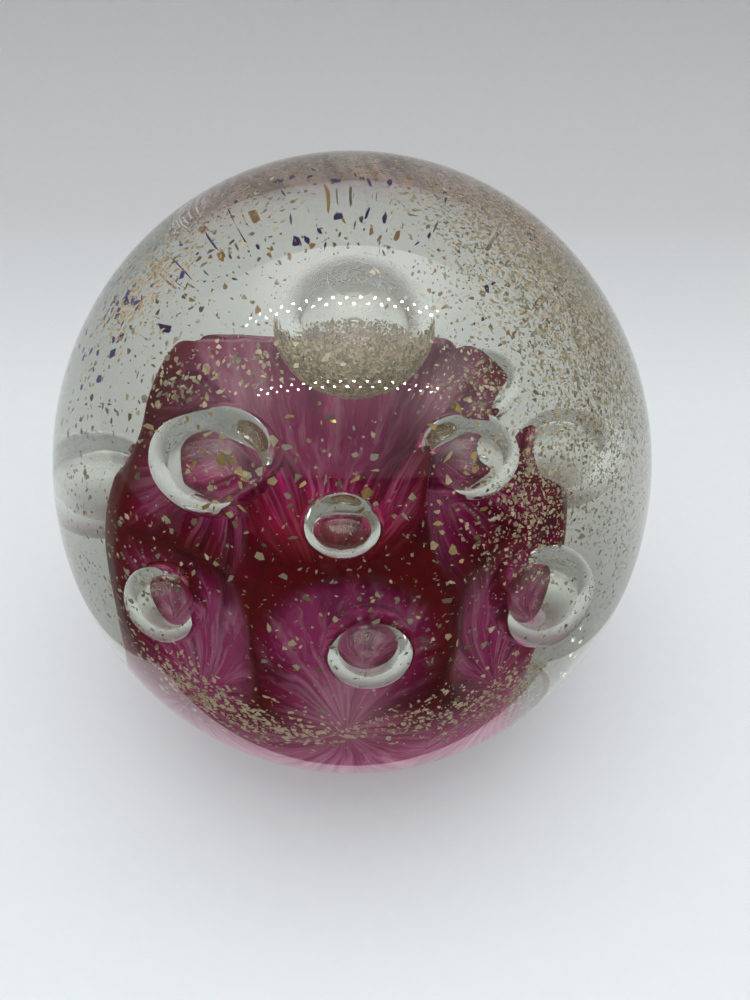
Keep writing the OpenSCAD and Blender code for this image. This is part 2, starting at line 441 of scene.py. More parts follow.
def warped(nodes, links, fan, place):
    """The fan vector pushed about a little, so that the streaks waver."""
    wobble = nodes.new("ShaderNodeTexNoise")
    wobble.inputs["Scale"].default_value = 150.0
    links.new(place, wobble.inputs["Vector"])
    push = nodes.new("ShaderNodeVectorMath")
    push.operation = "MULTIPLY_ADD"
    links.new(wobble.outputs["Color"], push.inputs[0])
    push.inputs[1].default_value = (0.22, 0.22, 0.0)
    links.new(fan, push.inputs[2])
    return push.outputs["Vector"]


def thin_and_lit_pink(nodes, links, streaks):
    """The paler streaked pink towards the foot: partly the layer thinning out, partly painted light where the
    skirt lies in shade.
    """
    tone = ramp(nodes, [(0.30, (0.44, 0.07, 0.19)), (0.5, (0.70, 0.22, 0.42)), (0.72, (0.92, 0.50, 0.70))])
    links.new(streaks, tone.inputs["Fac"])
    return tone.outputs["Color"]


def smoky(nodes, links, streaks):
    """Streaky grey-brown with a little pink."""
    tone = ramp(nodes, [(0.35, (0.20, 0.12, 0.10)), (0.5, (0.42, 0.32, 0.29)), (0.65, (0.60, 0.42, 0.42))])
    links.new(streaks, tone.inputs["Fac"])
    return tone.outputs["Color"]


def pink_inside():
    """The back of the pink layer, against the core."""
    material, nodes, links, shader = new_material("pink_inside")
    place = nodes.new("ShaderNodeTexCoord").outputs["Object"]
    tone = ramp(nodes, [(0.3, (0.22, 0.02, 0.07)), (0.7, (0.42, 0.10, 0.20))])
    links.new(noise(nodes, links, place, 220.0, 4.0), tone.inputs["Fac"])
    links.new(tone.outputs["Color"], shader.inputs["Base Color"])
    shader.inputs["Roughness"].default_value = 0.4
    return material


def flake_metal(name, stops, roughness, metallic):
    """Thin flakes of several tones: each flake's own tone comes from its mesh."""
    material, nodes, links, shader = new_material(name)
    tone = ramp(nodes, stops)
    links.new(attribute(nodes, "tone", "Fac"), tone.inputs["Fac"])
    place = nodes.new("ShaderNodeTexCoord").outputs["Object"]
    mottle = noise(nodes, links, place, 2500.0, 2.0)
    worn = ramp(nodes, [(0.3, (0.72, 0.70, 0.66)), (0.7, (1.0, 1.0, 1.0))])
    links.new(mottle, worn.inputs["Fac"])
    colour = mix_colour(nodes, links, 1.0, tone.outputs["Color"], worn.outputs["Color"], "MULTIPLY")
    links.new(colour, shader.inputs["Base Color"])
    shader.inputs["Metallic"].default_value = metallic
    shader.inputs["Roughness"].default_value = roughness
    bump = nodes.new("ShaderNodeBump")
    bump.inputs["Strength"].default_value = 0.5
    bump.inputs["Distance"].default_value = 0.0001
    links.new(mottle, bump.inputs["Height"])
    links.new(bump.outputs["Normal"], shader.inputs["Normal"])
    return material


# ---------------------------------------------------------------- the clear layers
SHARP_ANGLE = math.radians(40)
GLASS_IOR = 1.5
# Points in a ring, and the height angles nearest the poles of the casing, crown bubble and ring bubbles.
AROUND = 240
CASING_POLE = 1.55
CROWN_POLE = 1.54
BUBBLE_POLE = 1.5
# Rings in each band of the clear layers.
CASING_RINGS = 150
SEAM_RINGS = 90
CROWN_RINGS = 70
WALL_RINGS = 150
PLUG_RINGS = 20
NECK_RINGS = 16
FLAT_RINGS = 8
GATHER_FOOT_RINGS = 6
BUBBLE_AROUND = 64
BUBBLE_RINGS = 32
# The neck stops just short of the top of the gather.
NECK_TOP = 0.997
# The last ring of the cap over the crown bubble, as a part of the plug's radius.
CAP_END = 0.1
# Material slots of the casing and the gather.
CLEAR, FUSED = 0, 1
CLEAR_GLASS = glass("clear_glass", (0.67, 0.695, 0.615), (0.68, 0.65, 0.65), 45.0, 0.00003)
BUBBLE_GLASS = glass("bubble_glass", (0.97, 0.98, 0.96), (0.98, 0.98, 0.98), 160.0, 0.00001)
FUSED_GLASS = fused_glass("fused_glass")
PINK_GLASS = pink_glass()
PINK_INSIDE = pink_inside()


def foot_angle(half_height):
    """Height angle at which an oval of this half height meets the plane of the foot."""
    return math.asin(FOOT / half_height)


def seam_oval_ring(around, angle, seam):
    """A ring on the second gather, with a seam that closes towards the foot."""
    z = GATHER * HALF_H * math.sin(angle)
    room = SKIN + (seam - SKIN) * float(np.clip((z - SEAM_FOOT) / SEAM_FADE + 0.5, 0, 1))
    return level_ring(around, (GATHER + room) * math.cos(angle), (GATHER * HALF_H + room) * math.sin(angle))


def crown_wall_z(radius):
    """Height of the upper wall of the crown bubble at this distance from the axis."""
    width, height, middle = CROWN
    return middle + height * math.sqrt(1 - (radius / width) ** 2)


def make_casing():
    """The last gather: outer egg, foot, bore, and the plug that closes the neck of the poke."""
    outer = oval_rings(AROUND, (1, HALF_H, 0), np.linspace(CASING_POLE, foot_angle(HALF_H), CASING_RINGS))
    outer[-1][:, 2] = FOOT
    bore_start = foot_angle(GATHER * HALF_H)
    edge, bore_foot = math.cos(foot_angle(HALF_H)), math.cos(bore_start)
    foot = [level_ring(AROUND, r, FOOT) for r in np.linspace(edge, bore_foot + SKIN, FLAT_RINGS)[1:]]
    top = math.acos(NECK_R / GATHER)
    bore = [seam_oval_ring(AROUND, t, SEAM) for t in np.linspace(bore_start, top, SEAM_RINGS)[1:]]
    plug_r = NECK_R - SKIN
    plug = [level_ring(AROUND, plug_r, z)
            for z in np.linspace((GATHER + SEAM) * HALF_H, crown_wall_z(plug_r), PLUG_RINGS)]
    cap = [level_ring(AROUND, r, crown_wall_z(r))
           for r in np.linspace(plug_r, CAP_END * plug_r, FLAT_RINGS)[1:]]
    skin = Skin()
    skin.loft([(outer, CLEAR), (foot, CLEAR), (bore, FUSED), (plug, FUSED), (cap, CLEAR)],
              (0, 0, HALF_H), (0, 0, crown_wall_z(0)))
    return make_piece("casing", skin, [CLEAR_GLASS, FUSED_GLASS], ["outer_casing"])


def make_gather():
    """The second gather, from the floor of the crown bubble out over its outside and in along the bulb."""
    width, height, middle = CROWN
    last = math.acos(NECK_R / width)
    bubble = oval_rings(AROUND, CROWN, np.linspace(-CROWN_POLE, last, CROWN_RINGS))
    neck = [level_ring(AROUND, NECK_R, z)
            for z in np.linspace(crown_wall_z(NECK_R), GATHER * HALF_H * NECK_TOP, NECK_RINGS)[1:]]
    foot_end = foot_angle(GATHER * HALF_H)
    outside = oval_rings(AROUND, (GATHER, GATHER * HALF_H, 0),
                         np.linspace(math.acos(NECK_R / GATHER), foot_end, SEAM_RINGS))
    outside[-1][:, 2] = FOOT
    bulb_foot = BULB_OUTLINE[0][1] + PINK_ROOM
    inside = list(bulb_rings(AROUND, WALL_RINGS, PINK_ROOM, bulb_foot)[::-1])
    foot_r = math.cos(foot_end) * GATHER
    foot = [level_ring(AROUND, foot_r + (bulb_foot - foot_r) * s, FOOT, BULB_SHIFT * s)
            for s in np.linspace(0, 1, GATHER_FOOT_RINGS)[1:-1]]
    skin = Skin()
    skin.loft([(bubble, CLEAR), (neck, FUSED), (outside, FUSED), (foot, CLEAR), (inside, FUSED)],
              (0, 0, middle - height), inside[-1].mean(0))
    for azimuth, out, z, r, squash, *_ in LOWER_TIER + UPPER_TIER:
        centre = toward(azimuth, out, z)
        angles = np.linspace(-BUBBLE_POLE, BUBBLE_POLE, BUBBLE_RINGS)
        rings = oval_rings(BUBBLE_AROUND, (r, r * squash, 0), angles)
        skin.loft([([ring + centre for ring in rings], CLEAR)],
                  centre - (0, 0, r * squash), centre + (0, 0, r * squash))
    return make_piece("gather", skin, [BUBBLE_GLASS, FUSED_GLASS], ["second_gather"])


# ---------------------------------------------------------------- the pink bulb
# The dark of a ridge reaches this far from a second dimple, less far from the outline, and is kept
# out of the funnel by the lift.
RIDGE_WIDTH = 0.11
OUTLINE_WEIGHT = 1.6
FUNNEL_LIFT = 0.25
# The fans start from the pokes, which are below the lower bubbles and behind the front upper one.
FAN_RUN = 0.12
LOWER_POKE_DROP = 0.32
POKE_BEHIND = 0.12
FUNNEL_FAN = 6
# The dark clearing round the front upper bubble: where it ends, how fast it fades, and its darkest.
DARK_ROUND = 0.06
DARK_FADE = 0.17
DARK_LEAST = 0.2
FOLD_DEPTH = 0.35 * MM
FOLD_WAVES = (11, 17, 23, 31)
FOLD_SEED = 5
BULB_AROUND = 360
OUTSIDE_RINGS = 230
INSIDE_RINGS = 90
CORE_AROUND = 120
# Painted sheen: pale pink patches painted on the bulb where highlights show, as centre, size and strength.
PAINTED_SHEEN_SPOTS = [
    ((-0.26, 0.03, 0.26), 0.09, 1.6), ((0.21, -0.01, 0.28), 0.08, 2.2), ((-0.02, -0.38, -0.37), 0.09, 0.9),
]
# Low at the back the layer is smoky brown: below this height, with a soft edge.
SMOKE_TOP = -0.45
SMOKE_FADE = 0.15
# Where the pink starts to turn paler and to glow, and over what height: partly the layer thinning out, partly
# painted light.
SKIRT_FROM = -0.37
SKIRT_FADE = 0.22


def dimple_places(points):
    """For each point of the bulb: how far it lies down in a dimple, and a vector that turns round
    the poke that made the dimple, for streaks and folds that fan out from there."""
    p = points - np.array([BULB_SHIFT, 0.0, 0.0])
    cuts = DIMPLES + [(FUNNEL, FUNNEL_R)]
    gaps = np.array([abs(np.linalg.norm(p - centre, axis=1) - size) for centre, size in cuts])
    nearest = gaps.argmin(0)
    in_funnel = nearest == len(DIMPLES)
    _, second, third = np.sort(gaps, axis=0)[:3]
    ridge = np.interp(p[:, 2], OUTLINE[:, 0], OUTLINE[:, 1]) - np.hypot(p[:, 0], p[:, 1])
    # The funnel and the front dimple run together, and so do a dimple and its skirt.
    second = np.where(joined(nearest, gaps.argsort(0)[1]), third, second)
    from_outline = OUTLINE_WEIGHT * ridge + FUNNEL_LIFT * in_funnel
    valley = np.clip(np.minimum(second, from_outline) / RIDGE_WIDTH, 0, 1)
    columns = [column for column in LOWER_TIER for _ in range(2)] + UPPER_TIER
    fan = np.zeros((len(p), 3))
    for number, (column, (centre, size)) in enumerate(zip(columns, DIMPLES)):
        mine = nearest == number
        outward = centre[:2] / math.hypot(*centre[:2])
        across = p[mine, 1] * outward[0] - p[mine, 0] * outward[1]
        drop = LOWER_POKE_DROP if number < 2 * len(LOWER_TIER) else 0.0
        up = p[mine, 2] - (column[2] - drop)
        fan[mine] = turned(across, up, size, number // 2)
    front = toward(*UPPER_TIER[0][:3])
    open_front = in_funnel | (nearest == FRONT_DIMPLE)
    across, up = p[open_front, 0] - front[0], p[open_front, 1] - front[1] + POKE_BEHIND
    fan[open_front] = turned(across, up, FUNNEL_R, FUNNEL_FAN)
    fan[open_front, :2] = doubled(fan[open_front, :2])
    # The glass round the front upper bubble is as dark as a ridge.
    from_bubble = np.hypot(p[:, 0] - front[0], p[:, 1] - front[1])
    clearing = np.clip((from_bubble - DARK_ROUND) / DARK_FADE, DARK_LEAST, 1)
    valley[open_front] *= clearing[open_front]
    return valley, fan


def doubled(turn):
    """The unit vector at twice the angle, for finer fans."""
    return np.stack([2 * turn[:, 0] * turn[:, 1], turn[:, 1] ** 2 - turn[:, 0] ** 2], 1)


def joined(first, second):
    """Whether two dimples by number have no ridge between them."""
    low, high = np.minimum(first, second), np.maximum(first, second)
    skirt = (low % 2 == 0) & (high == low + 1) & (high < 2 * len(LOWER_TIER))
    front = (low == FRONT_DIMPLE) & (high == len(DIMPLES))
    return skirt | front


def turned(across, up, size, number):
    """The direction round a poke as a unit vector, and a slow run outwards, shifted for each dimple."""
    reach = np.hypot(across, up) + 1e-6
    return np.stack([across / reach, up / reach, FAN_RUN * reach / size + number], 1)


def fold(points):
    """Depth of the folds that fan out in every dimple, always inwards."""
    valley, fan = dimple_places(points)
    turn = np.arctan2(fan[:, 0], fan[:, 1])
    rng = np.random.default_rng(FOLD_SEED)
    wave = np.zeros(len(points))
    for count in FOLD_WAVES:
        phase = rng.uniform(0, 2 * math.pi)
        wave += np.sin(turn * count + phase + 2.0 * np.floor(fan[:, 2]))
    wave = 0.5 + wave / len(FOLD_WAVES)
    return -FOLD_DEPTH * np.clip(wave, 0, 1) * valley


def store(piece, name, values):
    """Stores one number for each point of the piece's mesh, for its material to read."""
    piece.data.attributes.new(name, "FLOAT", "POINT").data.foreach_set("value", values)


def make_bulb():
    """The pink layer: outside with folds, foot and inside, then the streak data, painted sheen and skirt data
    on its points.
    """
    foot_r = BULB_OUTLINE[0][1]
    outside = bulb_rings(BULB_AROUND, OUTSIDE_RINGS, 0.0, foot_r, fold)
    inside = bulb_rings(BULB_AROUND, INSIDE_RINGS, -PINK_T, foot_r - PINK_T)[::-1]
    skin = Skin()
    skin.loft([(list(outside), 0), (list(inside), 1)], outside[0].mean(0), inside[-1].mean(0))
    piece = make_piece("pink_bulb", skin, [PINK_GLASS, PINK_INSIDE], ["pink_overlay"])
    points = np.array(skin.points)
    depth, height = points[:, 1], points[:, 2]
    valley, fan = dimple_places(points)
    painted_sheen = np.zeros(len(points))
    for centre, size, strength in PAINTED_SHEEN_SPOTS:
        away = np.linalg.norm(points - centre, axis=1)
        painted_sheen += strength * np.exp(-((away / size) ** 2))
    smoke = np.clip((SMOKE_TOP - height) / SMOKE_FADE, 0, 1) * np.clip(depth / SMOKE_FADE, 0, 1)
    skirt = np.clip((SKIRT_FROM - height) / SKIRT_FADE, 0, 1)
    store(piece, "valley", valley)
    piece.data.attributes.new("fan", "FLOAT_VECTOR", "POINT").data.foreach_set("vector", fan.ravel())
    store(piece, "smoke", smoke)
    store(piece, "painted_sheen", painted_sheen)
    store(piece, "skirt", skirt)
    return piece


def make_core():
    """The clear first gather, inside the pink layer."""
    room = PINK_T + PINK_ROOM
    rings = bulb_rings(CORE_AROUND, INSIDE_RINGS, -room, BULB_OUTLINE[0][1] - room)
    skin = Skin()
    skin.loft([(list(rings), 0)], rings[0].mean(0), (BULB_SHIFT, 0, FOOT))
    return make_piece("core", skin, [CLEAR_GLASS], ["core_gather"])


# ---------------------------------------------------------------- flakes
# Tones run from a few violet flakes and dark olive through grey, beige and cream to gold.
FLAKE_TONES = [
    (0.00, (0.080, 0.050, 0.300)), (0.03, (0.080, 0.050, 0.300)), (0.05, (0.090, 0.080, 0.050)),
    (0.14, (0.200, 0.155, 0.070)), (0.28, (0.300, 0.275, 0.170)), (0.42, (0.450, 0.430, 0.330)),
    (0.56, (0.580, 0.490, 0.290)), (0.70, (0.870, 0.750, 0.510)), (0.84, (0.960, 0.790, 0.610)),
    (1.00, (0.900, 0.600, 0.200)),
]
LEAF_TONES = [(0.0, (0.50, 0.34, 0.10)), (0.5, (0.80, 0.60, 0.28)), (1.0, (0.92, 0.80, 0.60))]
MICA = flake_metal("mica_flakes", FLAKE_TONES, 0.4, 0.15)
LINING_TONES = [(0.0, (0.26, 0.22, 0.11)), (0.5, (0.56, 0.47, 0.26)), (1.0, (0.90, 0.80, 0.54))]
LINING = flake_metal("crown_flakes", LINING_TONES, 0.4, 0.15)
LEAF = flake_metal("gold_leaf", LEAF_TONES, 0.30, 0.85)
FLAKE_T = 0.05 * MM
FLAKE_CORNERS = 5
# How far the corners of a flake stray in angle and reach, how slim it may be, and how much it tilts.
CORNER_STRAY = 0.35
CORNER_REACH = (0.4, 1.0)
SLIMNESS = (0.22, 0.95)
FLAKE_TILT = 0.07
MICA_CURL = 0.25
LINING_CURL = 0.2
LEAF_CURL = 0.4
SEAM_MID = GATHER + SEAM / 2

# Clumps of flakes in the seam, as (direction from the front, height angle, spread of each, count,
# sizes in mm, tones).
CLUMPS = [
    (78, 44, 17, 13, 6200, (0.28, 0.95), (0.22, 0.86)),
    (92, 60, 26, 9, 2600, (0.25, 0.9), (0.22, 0.85)),
    (54, 33, 8, 9, 600, (0.3, 0.9), (0.20, 0.85)),
    (33, 26, 6, 5, 420, (0.25, 0.9), (0.30, 0.90)),
    (55, 10, 7, 10, 420, (0.25, 0.8), (0.20, 0.75)),
    (30, 50, 6, 3, 300, (0.25, 0.8), (0.20, 0.80)),
    (-32, -3, 5, 4, 170, (0.5, 1.6), (0.50, 0.90)),
    (-22, -8, 5, 4, 220, (0.5, 1.7), (0.55, 0.90)),
    (-12, -9, 5, 3, 150, (0.5, 1.6), (0.55, 0.90)),
    (4, -8, 6, 3, 110, (0.4, 1.3), (0.45, 0.90)),
    (17, -7, 5, 4, 200, (0.4, 1.3), (0.50, 0.90)),
    (28, -6, 5, 5, 300, (0.4, 1.2), (0.50, 0.90)),
    (-40, 12, 6, 9, 170, (0.4, 1.3), (0.20, 0.90)),
    (-46, 47, 7, 4, 140, (0.4, 1.3), (0.22, 0.85)),
    (-28, 54, 7, 3, 100, (0.4, 1.2), (0.22, 0.90)),
    (-2, 28, 20, 14, 170, (0.5, 1.7), (0.10, 0.75)),
    (-64, 30, 9, 9, 110, (0.4, 1.5), (0.05, 0.60)),
    (-55, 6, 6, 9, 160, (0.3, 0.9), (0.05, 0.60)),
    (-92, 62, 22, 8, 260, (0.3, 1.3), (0.05, 0.80)),
    (70, 40, 18, 13, 2600, (0.18, 0.45), (0.30, 1.00)),
    (-78, 49, 7, 5, 420, (0.3, 1.1), (0.85, 1.00)),
    (-84, 56, 16, 8, 420, (0.3, 1.1), (0.40, 0.95)),
    (180, -9, 22, 6, 900, (0.3, 1.0), (0.20, 1.00)),
    (178, 64, 45, 8, 2600, (0.3, 1.1), (0.08, 0.60)),
    (178, 48, 40, 7, 1500, (0.25, 0.9), (0.08, 0.60)),
    (174, -9, 18, 5, 60, (1.1, 2.4), (0.00, 0.03)),
    (178, -9, 20, 5, 80, (1.1, 2.4), (0.97, 1.00)),
    (-80, 46, 8, 7, 60, (0.8, 1.8), (0.00, 0.03)),
    (2, 14, 28, 12, 800, (0.2, 0.7), (0.05, 0.55)),
    (38, 33, 8, 5, 520, (0.25, 1.0), (0.40, 0.95)),
    (84, 36, 14, 12, 3200, (0.3, 1.0), (0.20, 0.85)),
    (150, 20, 40, 24, 1100, (0.3, 1.3), (0.10, 0.90)),
    (-140, 20, 35, 24, 900, (0.3, 1.3), (0.10, 0.90)),
    (-100, 15, 18, 20, 260, (0.3, 1.3), (0.10, 0.80)),
]
# Flakes spread all over: count, lowest and highest height angle, sizes in mm, tones.
SPREAD_ALL = (900, (-38, 84), (0.3, 1.3), (0.05, 0.85))
SEAM_FLAKE_SEED = 11
# Flakes lie only between these height angles, clear of the fused foot and of the plug.
SEAM_SPAN = (-40, 85)
# Low at the back the flakes are seen strongly enlarged through the top, and they are small there.
FAR_SIDE_FROM = 145
FAR_SIDE_TOP = 4
FAR_SIDE_SIZE = 0.45


def scraps_skin(places, leans, sizes, seed, curl):
    """Thin closed scraps with uneven corners, each lying at its place and facing along its lean."""
    count = len(places)
    rng = np.random.default_rng(seed)
    steps = np.arange(FLAKE_CORNERS)
    stray = rng.uniform(-CORNER_STRAY, CORNER_STRAY, (count, FLAKE_CORNERS))
    angles = (steps + stray) * 2 * math.pi / FLAKE_CORNERS
    reach = sizes[:, None] / 2 * rng.uniform(*CORNER_REACH, (count, FLAKE_CORNERS))
    slim = rng.uniform(*SLIMNESS, (count, 1))
    u, v = reach * np.cos(angles), reach * np.sin(angles) * slim
    lift = curl * (u * u + v * v) / sizes[:, None] * rng.uniform(-1, 1, (count, 1))
    lean = leans + rng.normal(0, FLAKE_TILT, leans.shape)
    lean /= np.linalg.norm(lean, axis=1)[:, None]
    side = np.cross(lean, rng.normal(size=lean.shape))
    side /= np.linalg.norm(side, axis=1)[:, None]
    other = np.cross(lean, side)
    flat = places[:, None] + u[..., None] * side[:, None] + v[..., None] * other[:, None]
    rise = lean[:, None] * lift[..., None]
    half = lean[:, None] * FLAKE_T / 2
    points = np.concatenate([flat + rise + half, flat + rise - half], 1)
    skin = Skin()
    skin.points = points.reshape(-1, 3)
    n = FLAKE_CORNERS
    for i in range(count):
        top, low = 2 * n * i, 2 * n * i + n
        skin.faces.append(tuple(range(top, top + n)))
        skin.faces.append(tuple(range(low + n - 1, low - 1, -1)))
        for k in range(n):
            m = (k + 1) % n
            skin.faces.append((top + m, top + k, low + k, low + m))
    skin.slots = [0] * len(skin.faces)
    return skin


def lie_on_oval(oval, azimuth, angle):
    """Points on an oval of revolution and the directions of its surface there. Angles in degrees."""
    a, t = np.radians(azimuth), np.radians(angle)
    r, z = oval[0] * np.cos(t), oval[1] * np.sin(t)
    places = np.stack([r * np.sin(a), -r * np.cos(a), z + oval[2]], 1)
    leans = np.stack([r * np.sin(a), -r * np.cos(a), z * (oval[0] / oval[1]) ** 2], 1)
    return places, leans / np.linalg.norm(leans, axis=1)[:, None]


def make_scraps(name, places, leans, sizes, tones, seed, curl, material, node):
    """One piece of many scraps, with a tone stored on each."""
    skin = scraps_skin(places, leans, sizes, seed, curl)
    piece = make_piece(name, skin, [material], [node], smooth=False)
    store(piece, "tone", np.repeat(tones, 2 * FLAKE_CORNERS))
    return piece


def scatter_seam():
    """Directions, height angles, sizes and tones of all the flakes in the seam."""
    rng = np.random.default_rng(SEAM_FLAKE_SEED)
    batches = []
    for azimuth, angle, az_spread, angle_spread, count, sizes, tones in CLUMPS:
        batches.append((rng.normal(azimuth, az_spread, count), rng.normal(angle, angle_spread, count),
                        sizes, tones, count))
    count, heights, sizes, tones = SPREAD_ALL
    low, high = np.sin(np.radians(heights))
    batches.append((rng.uniform(-180, 180, count), np.degrees(np.arcsin(rng.uniform(low, high, count))),
                    sizes, tones, count))
    azimuth = np.concatenate([b[0] for b in batches])
    angle = np.concatenate([b[1] for b in batches])
    # Small flakes are the most common.
    size = np.concatenate([s[0] + (s[1] - s[0]) * rng.random(n) ** 2 for _, _, s, _, n in batches]) * MM
    tone = np.concatenate([rng.uniform(*t, n) for _, _, _, t, n in batches])
    far_side = (abs((azimuth + 180) % 360 - 180) > FAR_SIDE_FROM) & (angle < FAR_SIDE_TOP)
    size = np.where(far_side, FAR_SIDE_SIZE * size, size)
    keep = (angle > SEAM_SPAN[0]) & (angle < SEAM_SPAN[1])
    return (azimuth[keep] + 180) % 360 - 180, angle[keep], size[keep], tone[keep]


# Zones of the seam: node name, and the directions that it covers. The crown takes what is above.
ZONES = [
    ("flakes_front_left", -60, 0), ("flakes_front_right", 0, 60), ("flakes_right", 60, 120),
    ("flakes_back_right", 120, 180), ("flakes_back_left", -180, -120), ("flakes_left", -120, -60),
]
CROWN_FROM = 60


def make_seam_flakes():
    """One piece for each zone of the seam."""
    azimuth, angle, size, tone = scatter_seam()
    places, leans = lie_on_oval((SEAM_MID, SEAM_MID * HALF_H, 0), azimuth, angle)
    crown = angle > CROWN_FROM
    members = {node: (azimuth >= low) & (azimuth < high) & ~crown for node, low, high in ZONES}
    members["flakes_crown"] = crown
    for seed, (node, mine) in enumerate(members.items()):
        make_scraps(node.replace("flakes", "mica"), places[mine], leans[mine], size[mine], tone[mine],
                    seed, MICA_CURL, MICA, node)


CROWN_FLAKES = 9000
# The lining reaches higher at the front: its edge is a plane tilted up towards the front.
LINING_TILT = math.radians(30)
LINING_EDGE = 0.05
LINING_TOP = 0.6
CROWN_FLAKE_SIZES = (0.35, 1.1)
# The lining lies in the glass, this far behind the wall of the bubble.
LINING_BEHIND = 0.19 * MM
LINING_SEED = 21
LINING_SHAPE_SEED = 22


def make_crown_lining():
    """The flakes on the floor and lower wall of the crown bubble."""
    rng = np.random.default_rng(LINING_SEED)
    azimuth = rng.uniform(-180, 180, CROWN_FLAKES)
    angle = np.degrees(np.arcsin(rng.uniform(-1, LINING_TOP, CROWN_FLAKES)))
    _, leans = lie_on_oval((1, 1, 0), azimuth, angle)
    edge = rng.normal(0, LINING_EDGE, CROWN_FLAKES)
    covered = leans @ [0, math.sin(LINING_TILT), math.cos(LINING_TILT)] < edge
    azimuth, angle = azimuth[covered], angle[covered]
    width, height, middle = CROWN
    places, leans = lie_on_oval((width + LINING_BEHIND, height + LINING_BEHIND, middle), azimuth, angle)
    low, high = CROWN_FLAKE_SIZES
    size = (low + (high - low) * rng.random(len(azimuth)) ** 1.5) * MM
    tone = rng.random(len(azimuth))
    return make_scraps("crown_lining", places, -leans, size, tone, LINING_SHAPE_SEED, LINING_CURL, LINING,
                       "crown_floor_flakes")


# Clumps of larger gold leaf scraps: direction, height angle, spread of each, count.
LEAF_CLUMPS = [
    (-25, 36, 5, 3, 26), (-36, 44, 5, 4, 14), (28, 39, 5, 4, 22), (-5, 39, 12, 6, 16),
    (10, 24, 14, 10, 8),
]
# The smallest scrap and how much larger the largest is, in mm. Small ones are the most common.
LEAF_LEAST = 0.5
LEAF_RANGE = 1.5
LEAF_RARITY = 2.2
LEAF_SEED = 31
LEAF_SHAPE_SEED = 32


def make_gold_leaf():
    """Scraps of bright leaf, larger than the flakes."""
    rng = np.random.default_rng(LEAF_SEED)
    azimuth = np.concatenate([rng.normal(a, s, n) for a, _, s, _, n in LEAF_CLUMPS])
    angle = np.concatenate([rng.normal(t, s, n) for _, t, _, s, n in LEAF_CLUMPS])
    places, leans = lie_on_oval((SEAM_MID, SEAM_MID * HALF_H, 0), azimuth, angle)
    size = (LEAF_LEAST + LEAF_RANGE * rng.random(len(azimuth)) ** LEAF_RARITY) * MM
    tone = rng.random(len(azimuth))
    return make_scraps("gold_leaf", places, leans, size, tone, LEAF_SHAPE_SEED, LEAF_CURL, LEAF,
                       "gold_leaf_scraps")


# ---------------------------------------------------------------- camera, lights and floor
LENS = 32.4
SENSOR = 36
CAMERA_ANGLE = math.radians(42)
CAMERA_REACH = 3.1785
CAMERA_PAN = math.radians(1.31)
CAMERA_TILT = math.radians(1.75)


def make_camera():
    data = bpy.data.cameras.new("camera")
    data.lens = LENS
    data.sensor_width = SENSOR
    data.clip_start = 0.005
    camera = bpy.data.objects.new("camera", data)
    away = Vector((0, -math.cos(CAMERA_ANGLE), math.sin(CAMERA_ANGLE))) * CAMERA_REACH * BODY_R
    camera.location = Vector((0, 0, WAIST_Z)) + away
    aim = (-away).to_track_quat("-Z", "Y")
    camera.rotation_mode = "QUATERNION"
    camera.rotation_quaternion = aim @ Euler((-CAMERA_TILT, -CAMERA_PAN, 0)).to_quaternion()
    bpy.context.scene.collection.objects.link(camera)
    bpy.context.scene.camera = camera


FLOOR_NEAR = -0.7
FLOOR_FAR = 0.17
SWEEP_R = 0.08
WALL_TOP = 0.6
FLOOR_HALF_WIDTH = 0.8
FLOOR_DROP = 0.00002


def make_floor():
    """A pale sheet that lies under the paperweight and sweeps up behind it."""
    profile = [(FLOOR_NEAR, 0.0), (-0.2, 0.0), (FLOOR_FAR, 0.0)]
    for t in np.linspace(0, math.pi / 2, 17)[1:]:
        profile.append((FLOOR_FAR + SWEEP_R * math.sin(t), SWEEP_R * (1 - math.cos(t))))
    profile.append((FLOOR_FAR + SWEEP_R, WALL_TOP))
    points = [(x, y, z - FLOOR_DROP) for y, z in profile for x in (-FLOOR_HALF_WIDTH, FLOOR_HALF_WIDTH)]
    faces = [(2 * i, 2 * i + 1, 2 * i + 3, 2 * i + 2) for i in range(len(profile) - 1)]
    mesh = bpy.data.meshes.new("floor")
    mesh.from_pydata(points, [], faces)
    mesh.shade_smooth()
    mesh.materials.append(paper())
    floor = bpy.data.objects.new("floor", mesh)
    bpy.context.scene.collection.objects.link(floor)


def paper():
    """Plain pale card with painted shade: a little darker where it rises at the back, where less light falls.
    """
    material, nodes, links, shader = new_material("pale_card")
    place = nodes.new("ShaderNodeTexCoord").outputs["Object"]
    split = nodes.new("ShaderNodeSeparateXYZ")
    links.new(place, split.inputs["Vector"])
    # Painted shade: the card darkens as it rises at the back.
    back = nodes.new("ShaderNodeMapRange")
    back.inputs["From Min"].default_value = 0.06
    back.inputs["From Max"].default_value = 0.15
    links.new(split.outputs["Y"], back.inputs["Value"])
    shade = ramp(nodes, [(0.0, (0.79, 0.82, 0.84)), (1.0, (0.66, 0.665, 0.67))])
    links.new(back.outputs["Result"], shade.inputs["Fac"])
    mottle = ramp(nodes, [(0.3, (0.985, 0.985, 0.985)), (0.7, (1.0, 1.0, 1.0))])
    links.new(noise(nodes, links, place, 400.0, 4.0), mottle.inputs["Fac"])
    colour = mix_colour(nodes, links, 1.0, shade.outputs["Color"], mottle.outputs["Color"], "MULTIPLY")
    links.new(colour, shader.inputs["Base Color"])
    shader.inputs["Roughness"].default_value = 0.6
    shader.inputs["Specular IOR Level"].default_value = 0.2
    return material


# How far the brightest part of the sky leans back, and its strength.
SKY_LEAN = 0.18
SKY_STRENGTH = 3.1


